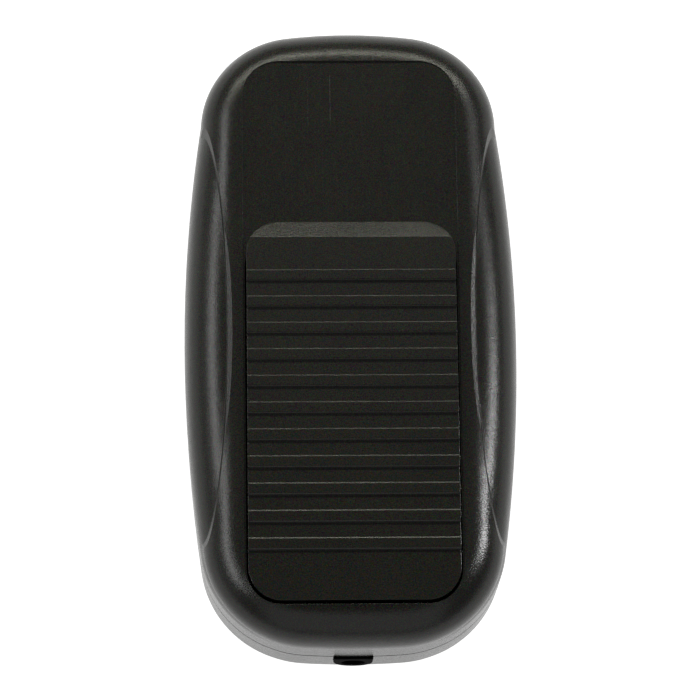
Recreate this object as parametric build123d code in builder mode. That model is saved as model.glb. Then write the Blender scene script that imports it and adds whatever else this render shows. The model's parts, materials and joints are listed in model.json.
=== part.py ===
from build123d import *

import math
import os

# Compact sustain pedal: a moulded two-part case, a ribbed treadle that rocks on a steel pin,
# a coil spring that lifts it, and a lever microswitch that it presses.
# Frame: origin on the floor under the middle of the case, +X to the player's right,
# +Y towards the heel end, +Z up. The cord leaves at the toe end, -Y. Millimetres.

os.makedirs("parts", exist_ok=True)

# ---------------------------------------------------------------- driving dimensions
HEEL_Y = 69.9            # outer faces of the case at the parting line
TOE_Y = -69.8
BODY_HALF = 33.5         # half width of the main body, without the fenders
BODY_ARC = 1200.0
FENDER_HALF = 36.4       # case half width at the widest point of the fenders
FENDER_MID_Y = -1.0
FENDER_ARC = 340.0       # radius of a fender's outline
FENDER_INSET = 0.15      # keeps the fenders inside the body's heel and toe faces
HEEL_ARC = 112.0
TOE_ARC = 170.0
HEEL_CORNER_R = 21.3
TOE_CORNER_R = 23.3
WALL = 2.2
BASE_DRAFT = 0.1         # inward lean of the base's wall over its height
BASE_R = 0.4             # rounding of the base's lower edge

BASE_Z = 1.6             # underside of the base; the feet stand below it
PART_Z = 12.2            # parting line
PRISM = 30.0             # height of the blocks that the case's forms are cut from
RIM_Z = 25.9             # rim plane above the origin
RIM_SLOPE = 4.0          # degrees that the rim plane rises towards the toe
RIM_R = 8.8              # rounding of the rim
FENDER_DROP = 1.0        # step from the rim plane to the fender, amidships
FENDER_DIP = 4500.0      # radius of the dip in the fenders' top, which eases the step out
FENDER_R = 10.0
# Cuts that waist the body between the fenders: half width and arc radius on the rim plane, and
# degrees from upright. The first is the crease, the second a flatter face along its middle.
WAIST_CUTS = [(26.6, 375.0, 22.0), (25.7, 300.0, 60.0)]
SHADOW_GAP = 0.5         # height and depth of the groove round the case over the parting line

CHANNEL_HALF = 23.4
CHANNEL_HEEL = 61.7
CHANNEL_TOE = -61.75
CHANNEL_R = 8.0
CHANNEL_DEPTH = 0.4      # below the rim plane
OPENING_HEEL = 21.5      # the channel floor ends here; the treadle covers the edge
OPENING_HALF = 23.05
OPENING_TOE = -61.5
OPENING_R = 7.7

TREADLE_HALF = 22.7
TREADLE_FOOT = 24.1      # heel edge, resting just above the channel floor
TREADLE_TOP = 20.3       # top of the sloped heel facet
TREADLE_TOE = -60.75
TREADLE_RISE = 1.8       # height of the facet above the channel floor
TREADLE_R = 7.3
FACET_BLEND = 2.0        # rounding where the facet meets the top
TREADLE_SKIN = 2.4
SKIRT = 1.8
SKIRT_Z = 22.0           # lower edge of the treadle's skirts at rest
SLOPE_HEEL = 6.0         # degrees, slope of the arched top at its heel end
SLOPE_TOE = 0.0
RIB_COUNT = 11
RIB_PITCH = 6.0
RIB_WIDTH = 2.7
RIB_HEIGHT = 0.6
RIB_EDGE = 0.32          # width of the easing along a rib's edges, and its depth
RIB_EASE = 0.13
FIRST_RIB = 7.6          # from the top of the facet to the first rib, along the slope

HINGE_Y = 15.0
HINGE_Z = 17.5
PIN_R = 1.5
PIN_RUN = 0.05           # radial running clearance of the treadle on its pin
PIN_HALF = 20.4
BARREL_R = 3.6

POST_X = 12.0            # hinge posts and their caps
POST_WIDTH = 5.0
POST_LENGTH = 17.0
CAP_TOP = 20.2
CAP_SCREW_Y = 6.0

SPRING_Y = -36.0
SPRING_SEAT_Z = 6.5
SPRING_TOP_Z = 24.2
SPRING_R = 5.0           # to the centre of the wire
SPRING_WIRE = 0.55
SPRING_TURNS = 7.0

SWITCH_X = 11.5
SWITCH_Y = -18.0
SWITCH_LENGTH = 19.8
SWITCH_WIDTH = 6.4
SWITCH_BOTTOM = 8.4
SWITCH_TOP = 16.6
SWITCH_PITCH = 9.5
LEVER_PIVOT_Y = -26.6
LEVER_PIVOT_Z = 17.3
LEVER_LENGTH = 18.5
LEVER_TILT = 10.0
LEVER_THICK = 0.4
PLUNGER_Y = -21.5
NIB_Y = -11.0
NIB_Z = 20.45

FOOT_X = 17.0
FOOT_Y = 54.0
FOOT_R = 6.5
FOOT_THICK = 2.6
GLAND_Z = 7.9
GLAND_R = 4.25
GLAND_NECK = 3.1
GLAND_BORE = 2.6
GLAND_FACE = -70.3
CLAMP_Y = -59.0
CLAMP_SCREW_X = 7.5
CASE_SCREWS = [(22.0, 42.0), (-22.0, 42.0), (26.6, -44.0), (-26.6, -44.0)]
DOWN_STOPS = [(15.0, -51.0), (-15.0, -51.0)]
DOWN_STOP_Z = 15.2
PAD = 1.0
UP_STOPS = [(13.0, -62.9), (-13.0, -62.9)]
UP_STOP_Z = 26.2
PAD_GAP = 0.3

SLOPE = math.radians(RIM_SLOPE)
GLAND_BACK = TOE_Y + WALL + BASE_DRAFT + 0.1
GLAND_NECK_Y = TOE_Y + 1.0
GLAND_FLANGE = 2.2


def tilted(height, degrees):
    """Plane at a height over the origin that rises towards the toe."""
    turn = math.radians(degrees)
    return Plane(origin=(0, 0, height), x_dir=(1, 0, 0), z_dir=(0, math.sin(turn), math.cos(turn)))


def rim_z(y):
    return RIM_Z - math.tan(SLOPE) * y


def floor_z(y):
    return rim_z(y) - CHANNEL_DEPTH


def arc_outline(half, side_arc, mid_y, inset):
    """Rounded outline of four arcs with filleted corners, moved inwards by the inset."""
    with BuildSketch() as outline:
        with Locations(Location((half - side_arc, mid_y, 0), (0, 0, 180))):
            Circle(side_arc - inset)
        with Locations((side_arc - half, mid_y)):
            Circle(side_arc - inset, mode=Mode.INTERSECT)
        with Locations(Location((0, HEEL_Y - HEEL_ARC, 0), (0, 0, 180))):
            Circle(HEEL_ARC - inset, mode=Mode.INTERSECT)
        with Locations((0, TOE_Y + TOE_ARC)):
            Circle(TOE_ARC - inset, mode=Mode.INTERSECT)
        fillet(outline.vertices().filter_by(lambda v: v.Y > 45), HEEL_CORNER_R - inset)
        fillet(outline.vertices().filter_by(lambda v: v.Y < -45), TOE_CORNER_R - inset)
    return outline.sketch


def body_outline(inset):
    return arc_outline(BODY_HALF, BODY_ARC, 0.0, inset)


def fender_outline(inset):
    return arc_outline(FENDER_HALF, FENDER_ARC, FENDER_MID_Y, inset + FENDER_INSET)


def case_plan(height, inset):
    """Outline of the whole case, the body with the fenders bulging beyond it."""
    with BuildSketch(Plane.XY.offset(height)) as plan:
        add(body_outline(inset))
        add(fender_outline(inset))
    return plan.sketch


def rounded_box(half, heel, toe, radius, plane):
    """Rounded rectangle between two stations along Y."""
    with BuildSketch(plane) as shape:
        with Locations((0, (heel + toe) / 2)):
            RectangleRounded(2 * half, heel - toe, radius)
    return shape.sketch


def body_form(inset):
    """Main body: a prism with a sloping top, a rounded rim and a waist on each side."""
    rim = tilted(RIM_Z - inset, RIM_SLOPE)
    with BuildPart() as form:
        with BuildSketch(Plane.XY.offset(PART_Z - 2 * inset)):
            add(body_outline(inset))
        extrude(amount=PRISM)
        split(bisect_by=rim, keep=Keep.BOTTOM)
        fillet(form.faces().sort_by(Axis.Z)[-1].edges(), RIM_R - inset)
        for half, arc, lean in WAIST_CUTS:
            spread = math.tan(math.radians(lean)) * PRISM / 2
            centre = arc + half - inset
            with Locations(rim):
                with Locations(Location((centre, 0, 0)), Location((-centre, 0, 0), (0, 0, 180))):
                    Cone(arc - spread, arc + spread, PRISM, mode=Mode.SUBTRACT)
    return form.part


def fender_form(inset):
    """Both side fenders, as one wide prism whose rounded top dips amidships."""
    low = RIM_Z - FENDER_DROP
    axis_y = FENDER_DIP * math.sin(SLOPE)
    axis_z = low + FENDER_DIP * math.cos(SLOPE)
    with BuildPart() as form:
        with BuildSketch(Plane.XY.offset(PART_Z - 2 * inset)):
            add(fender_outline(inset))
        extrude(amount=PRISM)
        with Locations(Location((0, axis_y, axis_z), (0, 90, 0))):
            Cylinder(FENDER_DIP + inset, 4 * FENDER_HALF, mode=Mode.SUBTRACT)
        fillet(form.faces().sort_by(Axis.Z)[-1].edges(), FENDER_R - inset)
    return form.part


def case_form(inset):
    """Outer form of the upper case, or its inside when given an inset."""
    with BuildPart() as form:
        add(body_form(inset))
        add(fender_form(inset))
    return form.part


outer_form = case_form(0.0)
inner_form = case_form(WALL)
boss_form = body_form(WALL / 2)

# ---------------------------------------------------------------- upper case
floor_plane = tilted(RIM_Z - CHANNEL_DEPTH, RIM_SLOPE)
under_plane = tilted(RIM_Z - CHANNEL_DEPTH - WALL, RIM_SLOPE)

with BuildPart() as channel_pan:
    extrude(rounded_box(CHANNEL_HALF + WALL, CHANNEL_HEEL + WALL, CHANNEL_TOE - WALL,
                        CHANNEL_R + WALL, under_plane), amount=WALL + CHANNEL_DEPTH)
    add(boss_form, mode=Mode.INTERSECT)

with BuildPart() as upper_bosses:
    with BuildSketch(Plane.XY.offset(PART_Z + 0.05)):
        with Locations(*CASE_SCREWS):
            Circle(2.9)
    extrude(amount=20)
    with BuildSketch(Plane.XY.offset(UP_STOP_Z)):
        with Locations(*UP_STOPS):
            Rectangle(6, 3)
    extrude(amount=10)
    add(boss_form, mode=Mode.INTERSECT)

with BuildPart() as upper_case:
    add(outer_form)
    add(inner_form, mode=Mode.SUBTRACT)
    add(channel_pan.part)
    add(upper_bosses.part)
    extrude(rounded_box(CHANNEL_HALF, CHANNEL_HEEL, CHANNEL_TOE, CHANNEL_R, floor_plane), amount=5,
            mode=Mode.SUBTRACT)
    with BuildSketch(Plane.XY.offset(PART_Z)):
        add(body_outline(-1.0))
        add(fender_outline(-1.0))
        add(body_outline(SHADOW_GAP), mode=Mode.SUBTRACT)
        add(fender_outline(SHADOW_GAP), mode=Mode.SUBTRACT)
    extrude(amount=SHADOW_GAP, mode=Mode.SUBTRACT)
    with BuildSketch(Plane.XY.offset(PART_Z + 5)) as opening:
        with Locations((0, (OPENING_HEEL + OPENING_TOE) / 2)):
            Rectangle(2 * OPENING_HALF, OPENING_HEEL - OPENING_TOE)
        fillet(opening.vertices(), OPENING_R)
    extrude(amount=20, mode=Mode.SUBTRACT)
    with BuildSketch(Plane.XY.offset(PART_Z)):
        with Locations(*CASE_SCREWS):
            Circle(1.5)
    extrude(amount=6, mode=Mode.SUBTRACT)

# ---------------------------------------------------------------- base case
INSIDE_Z = BASE_Z + WALL
BRACKET_X = SWITCH_X + SWITCH_WIDTH / 2 + 1.35


def gland_section(y, half, height):
    """U-shaped section of the cord gland, facing the toe end."""
    with BuildSketch(Plane.XZ.offset(-y)) as section:
        with Locations((0, GLAND_Z)):
            Circle(half)
        with Locations((0, GLAND_Z + height / 2)):
            Rectangle(2 * half, height)
    return section.sketch


with BuildPart() as base_case:
    loft([case_plan(BASE_Z, BASE_DRAFT), case_plan(PART_Z, 0.0)], ruled=True)
    fillet(base_case.faces().sort_by(Axis.Z)[0].edges(), BASE_R)
    extrude(case_plan(INSIDE_Z, WALL + BASE_DRAFT), amount=PART_Z - INSIDE_Z, mode=Mode.SUBTRACT)
    # locating lip inside the upper case
    extrude(case_plan(PART_Z - 2.5, WALL + 0.5), amount=4.0)
    extrude(case_plan(PART_Z - 2.5, WALL + 1.4), amount=4.0, mode=Mode.SUBTRACT)
    # screw columns, spring seat, down-stop posts
    with BuildSketch(Plane.XY.offset(INSIDE_Z - 0.5)):
        with Locations(*CASE_SCREWS):
            Circle(4.2)
    extrude(amount=PART_Z - INSIDE_Z + 0.5)
    with BuildSketch(Plane.XY.offset(INSIDE_Z - 0.5)):
        with Locations((0, SPRING_Y)):
            Circle(SPRING_R + 2.2)
        with Locations(*DOWN_STOPS):
            Rectangle(7, 7)
    extrude(amount=SPRING_SEAT_Z - INSIDE_Z + 0.5)
    with BuildSketch(Plane.XY.offset(SPRING_SEAT_Z)):
        with Locations((0, SPRING_Y)):
            Circle(SPRING_R - SPRING_WIRE - 0.6)
    extrude(amount=5.0)
    with BuildSketch(Plane.XY.offset(SPRING_SEAT_Z)):
        with Locations(*DOWN_STOPS):
            Rectangle(5.5, 5.5)
    extrude(amount=DOWN_STOP_Z - SPRING_SEAT_Z)
    # hinge posts with half-round saddles
    with BuildSketch(Plane.XY.offset(INSIDE_Z - 0.5)):
        with Locations((POST_X, HINGE_Y), (-POST_X, HINGE_Y)):
            Rectangle(POST_WIDTH, POST_LENGTH)
    extrude(amount=HINGE_Z - INSIDE_Z + 0.5)
    with BuildSketch(Plane.YZ.offset(-POST_X - POST_WIDTH)):
        with Locations((HINGE_Y, HINGE_Z)):
            Circle(PIN_R)
    extrude(amount=2 * (POST_X + POST_WIDTH), mode=Mode.SUBTRACT)
    # bracket that the switch is screwed to
    with BuildSketch(Plane.XY.offset(INSIDE_Z - 0.5)):
        with Locations((BRACKET_X, SWITCH_Y)):
            Rectangle(2.6, SWITCH_LENGTH + 2)
    extrude(amount=SWITCH_TOP - INSIDE_Z - 1.0)
    # cord clamp bosses
    with BuildSketch(Plane.XY.offset(INSIDE_Z - 0.5)):
        with Locations((CLAMP_SCREW_X, CLAMP_Y), (-CLAMP_SCREW_X, CLAMP_Y)):
            Circle(2.8)
    extrude(amount=GLAND_Z - INSIDE_Z + 0.5)
    # pilot holes and counterbores
    with BuildSketch(Plane.XY.offset(HINGE_Z - 6)):
        with GridLocations(2 * POST_X, 2 * CAP_SCREW_Y, 2, 2):
            with Locations((0, HINGE_Y)):
                Circle(0.9)
    extrude(amount=7, mode=Mode.SUBTRACT)
    with BuildSketch(Plane.XY.offset(INSIDE_Z)):
        with Locations((CLAMP_SCREW_X, CLAMP_Y), (-CLAMP_SCREW_X, CLAMP_Y)):
            Circle(0.9)
    extrude(amount=10, mode=Mode.SUBTRACT)
    with Locations(*[Location((x, y, BASE_Z), (180, 0, 0)) for x, y in CASE_SCREWS]):
        CounterBoreHole(1.7, 3.1, 5.4, depth=20)
    with BuildSketch(Plane.YZ.offset(BRACKET_X - 3)):
        with Locations((SWITCH_Y - SWITCH_PITCH / 2, SWITCH_BOTTOM + 2.9),
                       (SWITCH_Y + SWITCH_PITCH / 2, SWITCH_BOTTOM + 2.9)):
            Circle(1.0)
    extrude(amount=6, mode=Mode.SUBTRACT)
    # pockets for the feet
    with BuildSketch(Plane.XY.offset(BASE_Z - 1)):
        with GridLocations(2 * FOOT_X, 2 * FOOT_Y, 2, 2):
            Circle(FOOT_R + 0.1)
    extrude(amount=2.0, mode=Mode.SUBTRACT)
    # notch for the gland: a neck slot and a wider seat for its flange, open at the parting line
    extrude(gland_section(-60.0, GLAND_NECK + 0.05, 10), amount=12, mode=Mode.SUBTRACT)
    extrude(gland_section(-60.0, GLAND_R, 10), amount=-GLAND_BACK - 60 + 0.05, mode=Mode.SUBTRACT)
    extrude(gland_section(GLAND_NECK_Y, GLAND_R + 0.05, 10), amount=5, mode=Mode.SUBTRACT)

# ---------------------------------------------------------------- treadle


def treadle_arc():
    """Heel end, middle and toe end of the arched top, as (y, z), and its radius."""
    rise = (TREADLE_TOP - TREADLE_TOE) * math.tan(math.radians((SLOPE_HEEL + SLOPE_TOE) / 2))
    start = (TREADLE_TOP, floor_z(TREADLE_TOP) + TREADLE_RISE)
    turn = math.radians(SLOPE_HEEL - SLOPE_TOE)
    radius = (TREADLE_TOP - TREADLE_TOE) / turn
    end = (TREADLE_TOE, start[1] + rise)
    sagitta = radius * (1 - math.cos(turn / 2))
    middle = ((start[0] + end[0]) / 2, (start[1] + end[1]) / 2 + sagitta)
    return start, middle, end, radius


ARC_START, ARC_MIDDLE, ARC_END, ARC_RADIUS = treadle_arc()
APRON_GAP = 0.25


def treadle_section(heel):
    """Side section of the treadle: full depth up to a station, then the apron over the channel."""
    foot_z = floor_z(TREADLE_FOOT) + APRON_GAP
    with BuildSketch(Plane.YZ.offset(-TREADLE_HALF - 1)) as section:
        with BuildLine():
            top = ThreePointArc(ARC_START, ARC_MIDDLE, ARC_END)
            Polyline(top @ 1, (TREADLE_TOE, SKIRT_Z), (heel, SKIRT_Z), (heel, floor_z(heel) + APRON_GAP),
                     (TREADLE_FOOT, foot_z), (TREADLE_FOOT, foot_z + 0.2), top @ 0)
        make_face()
        fillet(section.vertices().sort_by_distance((-TREADLE_HALF - 1, *ARC_START))[0], FACET_BLEND)
    return section.sketch


def rib_centre(index):
    """Point on the arched top at the middle of a rib, and the slope there in degrees."""
    along = FIRST_RIB + RIB_PITCH * index + RIB_WIDTH / 2
    slope = SLOPE_HEEL - math.degrees(along / ARC_RADIUS)
    mean = math.radians((SLOPE_HEEL + slope) / 2)
    y = ARC_START[0] - along * math.cos(mean)
    z = ARC_START[1] + along * math.sin(mean)
    return y, z, slope


with BuildPart() as ribs:
    for i in range(RIB_COUNT):
        rib_y, rib_level, rib_slope = rib_centre(i)
        turn = math.radians(rib_slope)
        across = Plane(origin=(-TREADLE_HALF, rib_y, rib_level), z_dir=(1, 0, 0),
                       x_dir=(0, math.cos(turn), -math.sin(turn)))
        with BuildSketch(across):
            with BuildLine():
                Polyline((-RIB_WIDTH / 2, -0.6), (-RIB_WIDTH / 2, RIB_HEIGHT - RIB_EASE),
                         (RIB_EDGE - RIB_WIDTH / 2, RIB_HEIGHT), (RIB_WIDTH / 2 - RIB_EDGE, RIB_HEIGHT),
                         (RIB_WIDTH / 2, RIB_HEIGHT - RIB_EASE), (RIB_WIDTH / 2, -0.6), close=True)
            make_face()
        extrude(amount=2 * TREADLE_HALF)

LOW_PLANE = Plane.XY.offset(SKIRT_Z - 5)
ROCKER_HEEL = OPENING_HEEL - 0.5
treadle_plan = rounded_box(TREADLE_HALF, TREADLE_FOOT, TREADLE_TOE, TREADLE_R, LOW_PLANE)
rocker_plan = rounded_box(TREADLE_HALF, ROCKER_HEEL, TREADLE_TOE, TREADLE_R, LOW_PLANE)
cavity_plan = rounded_box(TREADLE_HALF - SKIRT, ROCKER_HEEL - SKIRT, TREADLE_TOE + SKIRT, TREADLE_R - SKIRT,
                          LOW_PLANE)

with BuildPart() as cavity:
    with BuildSketch(Plane.YZ.offset(-TREADLE_HALF - 1)):
        with BuildLine():
            inner = ThreePointArc((ARC_START[0], ARC_START[1] - TREADLE_SKIN),
                                  (ARC_MIDDLE[0], ARC_MIDDLE[1] - TREADLE_SKIN),
                                  (ARC_END[0], ARC_END[1] - TREADLE_SKIN))
            Polyline(inner @ 1, (TREADLE_TOE, SKIRT_Z - 4), (TREADLE_TOP, SKIRT_Z - 4), inner @ 0)
        make_face()
    extrude(amount=2 * TREADLE_HALF + 2)
    extrude(cavity_plan, amount=30, mode=Mode.INTERSECT)

with BuildPart() as rocker:
    extrude(treadle_section(ROCKER_HEEL), amount=2 * TREADLE_HALF + 2)
    extrude(rocker_plan, amount=30, mode=Mode.INTERSECT)

with BuildPart() as treadle:
    extrude(treadle_section(0.0), amount=2 * TREADLE_HALF + 2)
    add(ribs.part)
    extrude(treadle_plan, amount=30, mode=Mode.INTERSECT)
    add(rocker.part)
    add(cavity.part, mode=Mode.SUBTRACT)
    # hinge barrels and their webs up to the skin
    for side in (-1, 1):
        with BuildSketch(Plane.YZ.offset(side * 17.9)):
            with Locations((HINGE_Y, HINGE_Z)):
                Circle(BARREL_R)
            with Locations((HINGE_Y - 0.4, HINGE_Z + 3.5)):
                Rectangle(2 * BARREL_R - 0.8, 7.0)
        extrude(amount=2.4, both=True)
    with BuildSketch(Plane.YZ.offset(-PIN_HALF - 3)):
        with Locations((HINGE_Y, HINGE_Z)):
            Circle(PIN_R + PIN_RUN)
    extrude(amount=2 * PIN_HALF + 6, mode=Mode.SUBTRACT)
    # spring spigot, down-stop bosses
    with BuildSketch(Plane.XY.offset(SPRING_TOP_Z)):
        with Locations((0, SPRING_Y)):
            Circle(SPRING_R + 1.6)
    extrude(amount=3.8)
    with BuildSketch(Plane.XY.offset(SPRING_TOP_Z - 3)):
        with Locations((0, SPRING_Y)):
            Circle(SPRING_R - SPRING_WIRE - 0.6)
    extrude(amount=3)
    with BuildSketch(Plane.XY.offset(SKIRT_Z)):
        with Locations(*DOWN_STOPS):
            Circle(2.6)
    extrude(amount=6.2)
    # nib that presses the switch lever
    with BuildSketch(Plane.YZ.offset(SWITCH_X - 1.4)):
        with Locations((NIB_Y, NIB_Z + 0.9)):
            Circle(0.9)
        with Locations((NIB_Y, NIB_Z + 3.4)):
            Rectangle(1.8, 5.0)
    extrude(amount=2.8)
    # tabs that catch under the rim at the toe
    with BuildSketch(Plane.XY.offset(UP_STOP_Z - PAD - PAD_GAP)):
        with Locations(*[(x, TREADLE_TOE - 1.2) for x, _ in UP_STOPS]):
            Rectangle(5, 4.4)
    extrude(amount=-2.4)

# ---------------------------------------------------------------- hinge
with BuildPart() as hinge_pin:
    with BuildSketch(Plane.YZ.offset(-PIN_HALF)):
        with Locations((HINGE_Y, HINGE_Z)):
            Circle(PIN_R)
    extrude(amount=2 * PIN_HALF)
    chamfer(hinge_pin.edges().filter_by(GeomType.CIRCLE), 0.3)


def pin_cap(side):
    """Cap over the pin on one hinge post, with two screw holes."""
    with BuildPart() as cap:
        with BuildSketch(Plane.XY.offset(HINGE_Z)):
            with Locations((side * POST_X, HINGE_Y)):
                RectangleRounded(POST_WIDTH, POST_LENGTH, 1.0)
        extrude(amount=CAP_TOP - HINGE_Z)
        fillet(cap.faces().sort_by(Axis.Z)[-1].edges(), 0.5)
        with BuildSketch(Plane.YZ.offset(side * POST_X)):
            with Locations((HINGE_Y, HINGE_Z)):
                Circle(PIN_R)
        extrude(amount=POST_WIDTH, both=True, mode=Mode.SUBTRACT)
        with BuildSketch(Plane.XY.offset(HINGE_Z)):
            with Locations((side * POST_X, HINGE_Y - CAP_SCREW_Y), (side * POST_X, HINGE_Y + CAP_SCREW_Y)):
                Circle(1.15)
        extrude(amount=5, mode=Mode.SUBTRACT)
    return cap.part


def pan_screws(seats, shank_r, shank_length, head_r, head_height):
    """Pan-head screws with a cross recess, their heads on the given seats."""
    with BuildPart() as screw:
        with BuildSketch(Plane.XY):
            Circle(head_r)
        extrude(amount=head_height)
        fillet(screw.faces().sort_by(Axis.Z)[-1].edges(), head_height * 0.6)
        with BuildSketch(Plane.XY):
            Circle(shank_r)
        extrude(amount=-shank_length)
        chamfer(screw.faces().sort_by(Axis.Z)[0].edges(), shank_r * 0.6)
        with BuildSketch(Plane.XY.offset(head_height)):
            Rectangle(head_r * 1.1, head_r * 0.28)
            Rectangle(head_r * 0.28, head_r * 1.1)
        extrude(amount=-head_height * 0.6, mode=Mode.SUBTRACT)
    with BuildPart() as screws:
        with Locations(*seats):
            add(screw.part)
    return screws.part


cap_seats = [Plane(origin=(side * POST_X, HINGE_Y + end * CAP_SCREW_Y, CAP_TOP))
             for side in (-1, 1) for end in (-1, 1)]
pin_cap_screws = pan_screws(cap_seats, 0.85, 6.5, 1.9, 1.2)

# ---------------------------------------------------------------- spring and pads
with BuildPart() as return_spring:
    pitch = (SPRING_TOP_Z - SPRING_SEAT_Z - 2 * SPRING_WIRE - 0.2) / SPRING_TURNS
    with BuildLine(Plane((0, SPRING_Y, SPRING_SEAT_Z + SPRING_WIRE + 0.1))) as coil:
        Helix(pitch, pitch * SPRING_TURNS, SPRING_R)
    with BuildSketch(Plane(origin=coil.line @ 0, z_dir=coil.line % 0)):
        Circle(SPRING_WIRE)
    sweep(path=coil.line, is_frenet=True)

with BuildPart() as down_stop_pads:
    with BuildSketch(Plane.XY.offset(DOWN_STOP_Z)):
        with Locations(*DOWN_STOPS):
            RectangleRounded(5.5, 5.5, 0.8)
    extrude(amount=PAD)

with BuildPart() as up_stop_pads:
    with BuildSketch(Plane.XY.offset(UP_STOP_Z)):
        with Locations(*UP_STOPS):
            Rectangle(5.6, 2.2)
    extrude(amount=-PAD)

# ---------------------------------------------------------------- microswitch
SWITCH_LEFT = SWITCH_X - SWITCH_WIDTH / 2
with BuildPart() as switch_case:
    with BuildSketch(Plane.YZ.offset(SWITCH_LEFT + 1.2)):
        with Locations((SWITCH_Y, (SWITCH_BOTTOM + SWITCH_TOP) / 2)):
            Rectangle(SWITCH_LENGTH, SWITCH_TOP - SWITCH_BOTTOM)
    extrude(amount=SWITCH_WIDTH - 1.2)
    chamfer(switch_case.edges().filter_by(Axis.X), 0.5)
    with BuildSketch(Plane.XY.offset(SWITCH_TOP - 4)):
        with Locations((SWITCH_X, PLUNGER_Y)):
            Rectangle(2.1, 1.7)
    extrude(amount=6, mode=Mode.SUBTRACT)
    # cheeks that carry the lever's pivot
    with BuildSketch(Plane.XY.offset(SWITCH_TOP - 1)):
        with Locations((SWITCH_X - 1.5, LEVER_PIVOT_Y), (SWITCH_X + 1.9, LEVER_PIVOT_Y)):
            Rectangle(0.7, 1.8)
    extrude(amount=1.9)
    with BuildSketch(Plane.YZ.offset(SWITCH_LEFT)):
        with Locations((SWITCH_Y - SWITCH_PITCH / 2, SWITCH_BOTTOM + 2.9),
                       (SWITCH_Y + SWITCH_PITCH / 2, SWITCH_BOTTOM + 2.9)):
            Circle(1.1)
    extrude(amount=SWITCH_WIDTH + 1, mode=Mode.SUBTRACT)

with BuildPart() as switch_cover:
    with BuildSketch(Plane.YZ.offset(SWITCH_LEFT)):
        with Locations((SWITCH_Y, (SWITCH_BOTTOM + SWITCH_TOP) / 2)):
            Rectangle(SWITCH_LENGTH, SWITCH_TOP - SWITCH_BOTTOM)
        with Locations((SWITCH_Y - SWITCH_PITCH / 2, SWITCH_BOTTOM + 2.9),
                       (SWITCH_Y + SWITCH_PITCH / 2, SWITCH_BOTTOM + 2.9)):
            Circle(1.1, mode=Mode.SUBTRACT)
    extrude(amount=1.2)
    chamfer(switch_cover.faces().sort_by(Axis.X)[0].outer_wire().edges(), 0.3)

LEVER_TURN = math.radians(LEVER_TILT)
PLUNGER_REACH = (PLUNGER_Y - LEVER_PIVOT_Y) * math.tan(LEVER_TURN)
PLUNGER_TOP = LEVER_PIVOT_Z + PLUNGER_REACH - LEVER_THICK / 2 - 0.25
with BuildPart() as switch_plunger:
    with BuildSketch(Plane.XY.offset(SWITCH_TOP - 2.6)):
        with Locations((SWITCH_X, PLUNGER_Y)):
            Rectangle(1.9, 1.5)
    extrude(amount=PLUNGER_TOP - SWITCH_TOP + 2.6)
    fillet(switch_plunger.faces().sort_by(Axis.Z)[-1].edges().filter_by(Axis.X), 0.5)

with BuildPart() as switch_lever:
    with BuildSketch(Plane.YZ.offset(SWITCH_X - 0.85)):
        with Locations(Location((LEVER_PIVOT_Y, LEVER_PIVOT_Z, 0), (0, 0, LEVER_TILT))):
            Circle(0.5)
            with Locations((LEVER_LENGTH / 2, 0)):
                Rectangle(LEVER_LENGTH, LEVER_THICK)
    extrude(amount=2.1)

with BuildPart() as switch_terminals:
    for y in (SWITCH_Y - 7.6, SWITCH_Y, SWITCH_Y + 7.6):
        with BuildSketch(Plane.YZ.offset(SWITCH_X - 0.4)):
            with Locations((y, SWITCH_BOTTOM - 1.9)):
                Rectangle(2.8, 3.8)
            with Locations((y, SWITCH_BOTTOM - 2.6)):
                Circle(0.6, mode=Mode.SUBTRACT)
        extrude(amount=0.5)

switch_seats = [Plane(origin=(SWITCH_LEFT, SWITCH_Y + end * SWITCH_PITCH / 2, SWITCH_BOTTOM + 2.9),
                      z_dir=(-1, 0, 0)) for end in (-1, 1)]
switch_screws = pan_screws(switch_seats, 0.95, SWITCH_WIDTH + 2.4, 1.9, 1.3)

# ---------------------------------------------------------------- fixings, feet, cord entry
case_seats = [Plane(origin=(x, y, BASE_Z + 5.4), z_dir=(0, 0, -1)) for x, y in CASE_SCREWS]
case_screws = pan_screws(case_seats, 1.45, 9.5, 2.8, 2.0)


def foot(x, y):
    """Soft round foot set into a pocket of the base."""
    with BuildPart() as pad:
        with BuildSketch(Plane.XY):
            with Locations((x, y)):
                Circle(FOOT_R)
        extrude(amount=FOOT_THICK)
        fillet(pad.faces().sort_by(Axis.Z)[0].edges(), 0.6)
    return pad.part


GLAND_STEPS = [(GLAND_R, GLAND_FACE, GLAND_NECK_Y), (GLAND_NECK, GLAND_NECK_Y, GLAND_BACK),
               (GLAND_R - 0.4, GLAND_BACK, GLAND_BACK + GLAND_FLANGE)]
with BuildPart() as cord_gland:
    for half, front, rear in GLAND_STEPS:
        extrude(gland_section(front, half, PART_Z - 0.05 - GLAND_Z), amount=front - rear)
    chamfer(cord_gland.faces().sort_by(Axis.Y)[0].edges(), 0.2)
    with BuildSketch(Plane.XZ.offset(-GLAND_FACE)):
        with Locations((0, GLAND_Z)):
            Circle(GLAND_BORE)
    extrude(amount=GLAND_FACE - GLAND_BACK - GLAND_FLANGE, mode=Mode.SUBTRACT)

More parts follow.
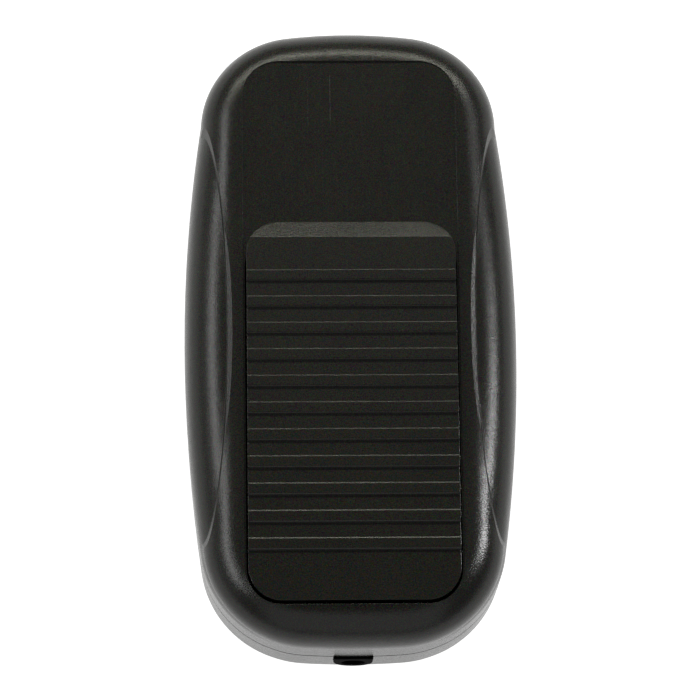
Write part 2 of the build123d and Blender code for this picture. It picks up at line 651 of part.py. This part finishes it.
with BuildPart() as cord_clamp:
    with BuildSketch(Plane.XZ.offset(-CLAMP_Y - 3)):
        with Locations((0, GLAND_Z + 1.5)):
            RectangleRounded(2 * CLAMP_SCREW_X + 6, 3.0, 0.8)
        with Locations((0, GLAND_Z)):
            Rectangle(2 * CLAMP_SCREW_X - 8.6 + 3.4, 4.4)
        with Locations((0, GLAND_Z - 1.0)):
            Circle(2.5, mode=Mode.SUBTRACT)
        with Locations((0, GLAND_Z - 3.0)):
            Rectangle(40, 6.0, mode=Mode.SUBTRACT)
    extrude(amount=6)
    with BuildSketch(Plane.XY.offset(GLAND_Z - 1)):
        with Locations((CLAMP_SCREW_X, CLAMP_Y), (-CLAMP_SCREW_X, CLAMP_Y)):
            Circle(1.15)
    extrude(amount=6, mode=Mode.SUBTRACT)

clamp_seats = [Plane(origin=(side * CLAMP_SCREW_X, CLAMP_Y, GLAND_Z + 3.0)) for side in (-1, 1)]
cord_clamp_screws = pan_screws(clamp_seats, 0.85, 6.0, 1.9, 1.2)

# ---------------------------------------------------------------- names and files
pieces = {
    "upper_case": upper_case.part,
    "base_case": base_case.part,
    "treadle": treadle.part,
    "hinge_pin": hinge_pin.part,
    "pin_cap_left": pin_cap(-1),
    "pin_cap_right": pin_cap(1),
    "pin_cap_screws": pin_cap_screws,
    "return_spring": return_spring.part,
    "down_stop_pads": down_stop_pads.part,
    "up_stop_pads": up_stop_pads.part,
    "switch_case": switch_case.part,
    "switch_cover": switch_cover.part,
    "switch_plunger": switch_plunger.part,
    "switch_lever": switch_lever.part,
    "switch_terminals": switch_terminals.part,
    "switch_screws": switch_screws,
    "case_screws": case_screws,
    "foot_heel_left": foot(-FOOT_X, FOOT_Y),
    "foot_heel_right": foot(FOOT_X, FOOT_Y),
    "foot_toe_left": foot(-FOOT_X, -FOOT_Y),
    "foot_toe_right": foot(FOOT_X, -FOOT_Y),
    "cord_gland": cord_gland.part,
    "cord_clamp": cord_clamp.part,
    "cord_clamp_screws": cord_clamp_screws,
}
for name, piece in pieces.items():
    piece.label = name
    export_step(piece, f"parts/{name}.step")
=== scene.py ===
import json
import math

import bpy
from mathutils import Matrix, Vector


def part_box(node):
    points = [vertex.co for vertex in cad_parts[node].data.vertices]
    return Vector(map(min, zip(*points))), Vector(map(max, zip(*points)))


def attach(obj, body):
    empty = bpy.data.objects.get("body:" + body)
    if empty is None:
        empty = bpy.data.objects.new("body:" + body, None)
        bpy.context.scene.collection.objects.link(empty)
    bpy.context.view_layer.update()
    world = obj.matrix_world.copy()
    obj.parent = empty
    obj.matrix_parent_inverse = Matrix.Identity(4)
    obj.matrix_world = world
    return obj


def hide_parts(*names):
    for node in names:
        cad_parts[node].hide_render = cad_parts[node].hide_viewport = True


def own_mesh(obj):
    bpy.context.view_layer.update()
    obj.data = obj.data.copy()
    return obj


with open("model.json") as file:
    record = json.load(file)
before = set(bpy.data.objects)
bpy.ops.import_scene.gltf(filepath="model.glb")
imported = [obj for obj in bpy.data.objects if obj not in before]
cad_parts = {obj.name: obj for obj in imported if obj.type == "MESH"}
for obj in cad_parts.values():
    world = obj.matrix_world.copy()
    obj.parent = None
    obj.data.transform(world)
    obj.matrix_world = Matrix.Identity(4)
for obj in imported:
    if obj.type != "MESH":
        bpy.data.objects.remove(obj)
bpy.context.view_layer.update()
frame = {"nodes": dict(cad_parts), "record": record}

# Looks for a compact sustain pedal: black moulded case, ribbed treadle, inner works.
# Metres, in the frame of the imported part: +X right, +Y heel end, +Z up.

scene = bpy.context.scene
nodes = frame["nodes"]
MM = 0.001


# ---------------------------------------------------------------- shader helpers
class Graph:
    """A short way to write node trees."""

    def __init__(self, tree):
        self.tree = tree

    def add(self, kind, inputs=None, **settings):
        node = self.tree.nodes.new(kind)
        for key, value in settings.items():
            setattr(node, key, value)
        for key, value in (inputs or {}).items():
            self.feed(node.inputs[key], value)
        return node

    def feed(self, socket, value):
        if isinstance(value, bpy.types.NodeSocket):
            self.tree.links.new(value, socket)
        else:
            socket.default_value = value

    def math(self, operation, a, b=0.0, c=0.0, clamp=False):
        node = self.add("ShaderNodeMath", {0: a, 1: b, 2: c}, operation=operation, use_clamp=clamp)
        return node.outputs[0]

    def remap(self, value, low, high, out_low=0.0, out_high=1.0, smooth=True):
        kind = "SMOOTHSTEP" if smooth else "LINEAR"
        node = self.add("ShaderNodeMapRange", {0: value, 1: low, 2: high, 3: out_low, 4: out_high},
                        interpolation_type=kind)
        return node.outputs[0]

    def mix(self, factor, a, b):
        node = self.add("ShaderNodeMix", {"Factor": factor}, data_type="RGBA")
        self.feed(node.inputs[6], a)
        self.feed(node.inputs[7], b)
        return node.outputs[2]

    def noise(self, vector, scale, detail=2.0, rough=0.5):
        node = self.add("ShaderNodeTexNoise", {"Vector": vector, "Scale": scale, "Detail": detail,
                                               "Roughness": rough})
        return node.outputs["Fac"]

    def cells(self, vector, scale, spread=1.0):
        node = self.add("ShaderNodeTexVoronoi", {"Vector": vector, "Scale": scale,
                                                 "Randomness": spread})
        return node.outputs["Distance"]

    def stretch(self, vector, x, y, z):
        node = self.add("ShaderNodeVectorMath", {0: vector, 1: (x, y, z)}, operation="MULTIPLY")
        return node.outputs[0]

    def place(self):
        return self.add("ShaderNodeTexCoord").outputs["Object"]

    def split(self, vector):
        return self.add("ShaderNodeSeparateXYZ", {0: vector}).outputs


def grey(value):
    return (value, value, value, 1.0)


def material(name):
    """An empty material with its graph, surface shader and object coordinates."""
    mat = bpy.data.materials.new(name)
    mat.use_nodes = True
    graph = Graph(mat.node_tree)
    shader = mat.node_tree.nodes["Principled BSDF"]
    return mat, graph, shader, graph.place()


def bump_chain(graph, shader, layers, edge_radius):
    """Bump layers of (height, depth in metres, strength) over softened edges."""
    normal = None
    if edge_radius:
        normal = graph.add("ShaderNodeBevel", {"Radius": edge_radius}, samples=6).outputs[0]
    for height, depth, strength in layers:
        inputs = {"Height": height, "Distance": depth, "Strength": strength}
        if normal is not None:
            inputs["Normal"] = normal
        normal = graph.add("ShaderNodeBump", inputs).outputs[0]
    graph.feed(shader.inputs["Normal"], normal)


# ---------------------------------------------------------------- materials
DUST_GREY = 0.055
FLECK_SCALE = 4300.0


def moulded(name, colour, warm, rough, grain, edge=0.16 * MM, mottle=2.0, streaks=0.0, dust=0.0,
            scratches=()):
    """Spark-textured plastic: fine grain and flecks, drag marks along Y, dust, softened edges.

    Each scratch is (x, y_low, y_high, width, depth), where depth is how much of it shows.
    """
    mat, graph, shader, place = material(name)
    grain_fine = graph.noise(place, 3600.0, 3.0, 0.6)
    grain_broad = graph.noise(place, 900.0, 2.0)
    patch = graph.noise(place, 55.0, 3.0)
    drag = graph.noise(graph.stretch(place, 2600.0, 40.0, 300.0), 1.0, 3.0, 0.65)
    hair = graph.noise(graph.stretch(place, 5200.0, 24.0, 200.0), 1.0, 1.0)
    hair = graph.remap(hair, 0.62, 0.78)
    speck = graph.cells(place, 520.0)
    speck_here = graph.remap(graph.noise(place, 260.0, 1.0), 0.5, 0.62)
    speck = graph.math("MULTIPLY", graph.remap(speck, 0.16, 0.06), speck_here)

    light = graph.math("MULTIPLY_ADD", grain_fine, 0.7, 0.30)
    light = graph.math("MULTIPLY_ADD", patch, 0.5, light)
    light = graph.math("MULTIPLY_ADD", drag, streaks, light)
    base = graph.mix(graph.remap(light, 0.55, 1.25, smooth=False), grey(colour * 0.72),
                     (colour * warm[0], colour * warm[1], colour * warm[2], 1.0))
    dust_amount = graph.math("MULTIPLY", speck, dust)
    hair_amount = graph.math("MULTIPLY", hair, streaks * 0.5)
    marks = graph.math("ADD", dust_amount, hair_amount)
    axes = graph.split(place)
    for x, y_low, y_high, width, depth in scratches:
        across = graph.math("ABSOLUTE", graph.math("SUBTRACT", axes[0], x))
        line = graph.remap(across, width, width * 0.25)
        along = graph.math("MULTIPLY", graph.remap(axes[1], y_low, y_low + 0.25 * (y_high - y_low)),
                           graph.remap(axes[1], y_high, y_high - 0.15 * (y_high - y_low)))
        line = graph.math("MULTIPLY", graph.math("MULTIPLY", line, along), depth)
        marks = graph.math("ADD", marks, line)
    base = graph.mix(graph.math("MINIMUM", marks, 1.0), base, grey(DUST_GREY))
    flecks = graph.add("ShaderNodeTexNoise", {"Vector": place, "Scale": FLECK_SCALE, "Detail": 1.0})
    tint = graph.add("ShaderNodeVectorMath", {0: flecks.outputs["Color"], 1: (mottle,) * 3,
                                              2: (1 - mottle / 2,) * 3}, operation="MULTIPLY_ADD")
    tint = graph.add("ShaderNodeVectorMath", {0: tint.outputs[0], 1: (0.0, 0.0, 0.0)},
                     operation="MAXIMUM")
    base = graph.add("ShaderNodeVectorMath", {0: base, 1: tint.outputs[0]},
                     operation="MULTIPLY").outputs[0]
    graph.feed(shader.inputs["Base Color"], base)

    gloss = graph.math("MULTIPLY_ADD", grain_broad, 0.08, rough - 0.05)
    gloss = graph.math("MULTIPLY_ADD", patch, 0.10, gloss)
    gloss = graph.math("MULTIPLY_ADD", drag, 0.06 * streaks, gloss)
    gloss = graph.math("ADD", gloss, graph.math("MULTIPLY", marks, 0.12))
    graph.feed(shader.inputs["Roughness"], gloss)
    shader.inputs["IOR"].default_value = 1.5
    bump_chain(graph, shader, [(grain_fine, 0.06 * MM, grain),
                               (drag, 0.02 * MM, 0.5 * streaks * grain)], edge)
    return mat


def rubber(name, colour, rough, grain=0.5, gloss=0.35):
    """Matt black rubber or soft PVC with a pebbled, slightly dusty skin."""
    mat, graph, shader, place = material(name)
    pebble = graph.cells(place, 2600.0)
    bloom = graph.noise(place, 350.0, 4.0, 0.65)
    base = graph.mix(graph.remap(bloom, 0.35, 0.75), grey(colour * 0.7), grey(colour * 1.5))
    graph.feed(shader.inputs["Base Color"], base)
    graph.feed(shader.inputs["Roughness"], graph.math("MULTIPLY_ADD", bloom, 0.18, rough - 0.09))
    shader.inputs["Specular IOR Level"].default_value = gloss
    bump_chain(graph, shader, [(pebble, 0.03 * MM, grain), (bloom, 0.04 * MM, grain)], 0.12 * MM)
    return mat


def felt(name, colour):
    """Pressed felt with loose fibres."""
    mat, graph, shader, place = material(name)
    fibre = graph.noise(graph.stretch(place, 900.0, 4200.0, 4200.0), 1.0, 4.0, 0.7)
    cross = graph.noise(graph.stretch(place, 4200.0, 900.0, 3000.0), 1.0, 4.0, 0.7)
    mat_of_fibres = graph.math("MAXIMUM", fibre, cross)
    low = (colour[0] * 0.55, colour[1] * 0.55, colour[2] * 0.55, 1.0)
    base = graph.mix(graph.remap(mat_of_fibres, 0.4, 0.75), low, (*colour, 1.0))
    graph.feed(shader.inputs["Base Color"], base)
    graph.feed(shader.inputs["Roughness"], graph.math("MULTIPLY_ADD", fibre, 0.1, 0.88))
    shader.inputs["Sheen Weight"].default_value = 0.4
    bump_chain(graph, shader, [(mat_of_fibres, 0.12 * MM, 0.8)], 0.0)
    return mat


def metal(name, colour, rough, drawn=(400.0, 4000.0, 4000.0), stain=0.25):
    """Drawn or stamped metal: fine lines along its length, faint stains and handling marks."""
    mat, graph, shader, place = material(name)
    lines = graph.noise(graph.stretch(place, *drawn), 1.0, 3.0, 0.6)
    stains = graph.noise(place, 420.0, 4.0, 0.6)
    dull = tuple(c * (1.0 - stain) for c in colour)
    base = graph.mix(graph.remap(stains, 0.42, 0.7), (*colour, 1.0), (*dull, 1.0))
    graph.feed(shader.inputs["Base Color"], base)
    gloss = graph.math("MULTIPLY_ADD", stains, 0.22, rough - 0.1)
    graph.feed(shader.inputs["Roughness"], graph.math("MULTIPLY_ADD", lines, 0.12, gloss))
    shader.inputs["Metallic"].default_value = 1.0
    bump_chain(graph, shader, [(lines, 0.01 * MM, 0.5)], 0.08 * MM)
    return mat


CHANNEL_SCRATCHES = [(-4.1 * MM, 45.5 * MM, 59.5 * MM, 0.16 * MM, 0.75),
                     (-9.0 * MM, 44.0 * MM, 58.0 * MM, 0.14 * MM, 0.35),
                     (-17.0 * MM, 38.0 * MM, 57.0 * MM, 0.13 * MM, 0.2)]
WARM = (1.06, 1.05, 0.80)

looks = {
    "case_plastic": moulded("case_plastic", 0.026, WARM, 0.17, 0.6, mottle=7.0, streaks=0.45,
                            scratches=CHANNEL_SCRATCHES),
    "treadle_plastic": moulded("treadle_plastic", 0.041, WARM, 0.12, 0.4, edge=0.25 * MM,
                               mottle=4.5, streaks=0.15, dust=0.6),
    "pin_steel": metal("pin_steel", (0.56, 0.56, 0.57), 0.28),
    "clip_plastic": moulded("clip_plastic", 0.05, WARM, 0.5, 0.6, streaks=0.1),
    "spring_steel": metal("spring_steel", (0.46, 0.46, 0.47), 0.32, drawn=(1800.0, 1800.0, 1800.0)),
    "stop_rubber": rubber("stop_rubber", 0.02, 0.8),
    "stop_felt": felt("stop_felt", (0.12, 0.13, 0.12)),
    "switch_plastic": moulded("switch_plastic", 0.035, (1.0, 1.0, 1.02), 0.38, 0.3),
    "plunger_plastic": moulded("plunger_plastic", 0.30, (1.3, 0.5, 0.35), 0.36, 0.3),
    "lever_steel": metal("lever_steel", (0.6, 0.6, 0.6), 0.3, drawn=(4000.0, 400.0, 4000.0)),
    "terminal_brass": metal("terminal_brass", (0.78, 0.57, 0.26), 0.3,
                            drawn=(4000.0, 4000.0, 500.0), stain=0.4),
    "gland_rubber": rubber("gland_rubber", 0.005, 0.9, grain=0.35, gloss=0.05),
    "screw_steel": metal("screw_steel", (0.5, 0.5, 0.52), 0.34,
                         drawn=(2500.0, 2500.0, 900.0), stain=0.35),
    "foot_rubber": rubber("foot_rubber", 0.018, 0.78, grain=0.8),
}

for part in frame["record"]["subparts"]:
    body = nodes[part["node"]]
    body.data.materials.clear()
    body.data.materials.append(looks[part["material_slot"]])


# ---------------------------------------------------------------- return spring
COIL_STEPS = 28                       # points in each turn


def spring_piece(name, node, wire, turns, closed):
    """Compression coil with closed end turns, in the space of the CAD spring."""
    low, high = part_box(node)
    centre = ((low[0] + high[0]) / 2, (low[1] + high[1]) / 2)
    radius = (high[0] - low[0]) / 2 - wire
    bottom, top = low[2] + wire, high[2] - wire
    total = turns + 2 * closed
    points = []
    for i in range(int(total * COIL_STEPS) + 1):
        turn = i / COIL_STEPS
        if turn < closed:
            height = bottom + 2 * wire * turn
        elif turn > total - closed:
            height = top - 2 * wire * (total - turn)
        else:
            rise = (top - bottom) - 4 * wire * closed
            height = bottom + 2 * wire * closed + rise * (turn - closed) / turns
        angle = 2 * math.pi * turn
        points.append((centre[0] + radius * math.cos(angle),
                       centre[1] + radius * math.sin(angle), height))
    curve = bpy.data.curves.new(name, "CURVE")
    curve.dimensions = "3D"
    curve.bevel_depth = wire
    curve.bevel_resolution = 4
    curve.use_fill_caps = True
    line = curve.splines.new("POLY")
    line.points.add(len(points) - 1)
    for point, place in zip(line.points, points):
        point.co = (*place, 1.0)
    line.use_smooth = True
    coil = bpy.data.objects.new(name, curve)
    scene.collection.objects.link(coil)
    depsgraph = bpy.context.evaluated_depsgraph_get()
    mesh = bpy.data.meshes.new_from_object(coil.evaluated_get(depsgraph))
    bpy.data.objects.remove(coil)
    piece = bpy.data.objects.new(name, mesh)
    scene.collection.objects.link(piece)
    return piece, (centre[0], centre[1], low[2])


spring, spring_seat = spring_piece("spring_coil", "return_spring", 0.55 * MM, 5.5, 1.25)
spring.data.materials.clear()
spring.data.materials.append(looks["spring_steel"])
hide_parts("return_spring")
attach(spring, "case")
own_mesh(spring)

# ---------------------------------------------------------------- floor
FLOOR_HALF = 3.0
GLOW_SHAPE = (1.9, 1.0, 0.0)          # the glow falls off faster across the object than along it
GLOW_NEAR, GLOW_FAR = 0.09, 0.15      # metres from the middle, on that shape
NEAR_GLOW = 0.88
FAR_GLOW = 0.54
CAMERA_GLOW = 1.1
floor_mesh = bpy.data.meshes.new("floor")
floor_mesh.from_pydata([(-FLOOR_HALF, -FLOOR_HALF, 0), (FLOOR_HALF, -FLOOR_HALF, 0),
                        (FLOOR_HALF, FLOOR_HALF, 0), (-FLOOR_HALF, FLOOR_HALF, 0)],
                       [], [(0, 1, 2, 3)])
floor = bpy.data.objects.new("floor", floor_mesh)
scene.collection.objects.link(floor)
floor_mat, floor_graph, floor_shader, floor_place = material("pale_floor")
floor_tone = floor_graph.noise(floor_place, 3.0, 2.0)
floor_graph.feed(floor_shader.inputs["Base Color"],
                 floor_graph.mix(floor_tone, grey(0.40), grey(0.44)))
floor_shader.inputs["Roughness"].default_value = 0.9
floor_shader.inputs["Specular IOR Level"].default_value = 0.0
floor_shader.inputs["Emission Color"].default_value = grey(1.0)
# The floor glows like a light table, brightest round the object. Seen directly it is plain white.
spot = floor_graph.add("ShaderNodeVectorMath", {0: floor_place, 1: GLOW_SHAPE}, operation="MULTIPLY")
reach = floor_graph.add("ShaderNodeVectorMath", {0: spot.outputs[0]},
                        operation="LENGTH").outputs["Value"]
glow = floor_graph.remap(reach, GLOW_NEAR, GLOW_FAR, NEAR_GLOW, FAR_GLOW)
direct = floor_graph.add("ShaderNodeLightPath").outputs["Is Camera Ray"]
glow = floor_graph.math("MAXIMUM", glow, floor_graph.math("MULTIPLY", direct, CAMERA_GLOW))
floor_graph.feed(floor_shader.inputs["Emission Strength"], glow)
floor_mesh.materials.append(floor_mat)

# ---------------------------------------------------------------- sky
# (height, level): 0 is the horizon and 1 straight up. Dim, with a brighter ring high up.
SKY = [(0.0, 0.13), (0.20, 0.13), (0.55, 0.11), (0.84, 0.11),
       (0.89, 0.20), (0.92, 0.19), (0.945, 0.085), (0.98, 0.045)]
world = bpy.data.worlds.new("studio")
scene.world = world
world.use_nodes = True
sky = Graph(world.node_tree)
background = world.node_tree.nodes["Background"]
toward = sky.split(sky.add("ShaderNodeTexCoord").outputs["Generated"])
ramp = sky.add("ShaderNodeValToRGB", {"Fac": toward[2]})
while len(ramp.color_ramp.elements) < len(SKY):
    ramp.color_ramp.elements.new(0.5)
for stop, (height, level) in zip(ramp.color_ramp.elements, SKY):
    stop.position = height
    stop.color = grey(level)
sky.feed(background.inputs["Color"], ramp.outputs["Color"])
background.inputs["Strength"].default_value = 1.0


# ---------------------------------------------------------------- lights
def soft_box(name, azimuth, elevation, distance, width, height, radiance):
    """Area light facing the pedal from a bearing (0 is +X, 90 is +Y) and an elevation."""
    turn, lift = math.radians(azimuth), math.radians(elevation)
    way = Vector((math.cos(turn) * math.cos(lift), math.sin(turn) * math.cos(lift), math.sin(lift)))
    lamp = bpy.data.lights.new(name, "AREA")
    lamp.shape = "RECTANGLE"
    lamp.size = width
    lamp.size_y = height
    lamp.energy = radiance * math.pi * width * height
    holder = bpy.data.objects.new(name, lamp)
    scene.collection.objects.link(holder)
    holder.location = way * distance
    holder.rotation_euler = way.to_track_quat("Z", "Y").to_euler()
    return holder


HEEL_TINT = (1.0, 1.0, 0.86)
heel_box = soft_box("heel_box", 90.0, 38.0, 0.9, 1.23, 0.108, 7.6)
heel_box.data.color = HEEL_TINT
# These show only as highlights, so they leave the flat faces dark.
for box in (soft_box("left_box", 172.0, 40.0, 0.9, 0.85, 0.22, 4.4),
            soft_box("left_glow", 180.0, 18.0, 0.9, 1.1, 0.30, 0.25),
            soft_box("right_box", 26.0, 37.0, 0.9, 0.9, 0.18, 1.3),
            soft_box("key_box", 11.0, 34.0, 0.9, 0.12, 0.11, 58.0),
            soft_box("toe_box", 270.0, 36.0, 1.2, 1.6, 1.2, 0.38)):
    box.visible_diffuse = False

# ---------------------------------------------------------------- camera
CAMERA_LEAN = math.radians(13.932)    # from straight above, towards the toe end
CAMERA_SIDE = math.radians(1.755)     # from straight above, towards -X
CAMERA_ROLL = math.radians(-0.653)
CAMERA_DISTANCE = 1.0095
FRAME_WIDTH = 0.1529                  # metres across the picture at the aim point
AIM = Vector((0.0, -0.00077, 0.015))
AIM_SHIFT = (-0.0000874, -0.0015840)

back = Vector((-math.tan(CAMERA_SIDE), -math.tan(CAMERA_LEAN), 1.0)).normalized()
up = Vector((0.0, 1.0, 0.0))
up = (up - back * up.dot(back)).normalized()
right = up.cross(back)
roll_cos, roll_sin = math.cos(CAMERA_ROLL), math.sin(CAMERA_ROLL)
across = roll_cos * right + roll_sin * up
upward = -roll_sin * right + roll_cos * up
lens = bpy.data.cameras.new("camera")
lens.sensor_width = 36.0
lens.lens = 36.0 * CAMERA_DISTANCE / FRAME_WIDTH
lens.clip_start = 0.01
camera = bpy.data.objects.new("camera", lens)
scene.collection.objects.link(camera)
stance = Matrix(((across.x, upward.x, back.x), (across.y, upward.y, back.y),
                 (across.z, upward.z, back.z))).to_4x4()
stance.translation = AIM + across * AIM_SHIFT[0] + upward * AIM_SHIFT[1] + back * CAMERA_DISTANCE
camera.matrix_world = stance
scene.camera = camera
scene.view_settings.view_transform = "Standard"
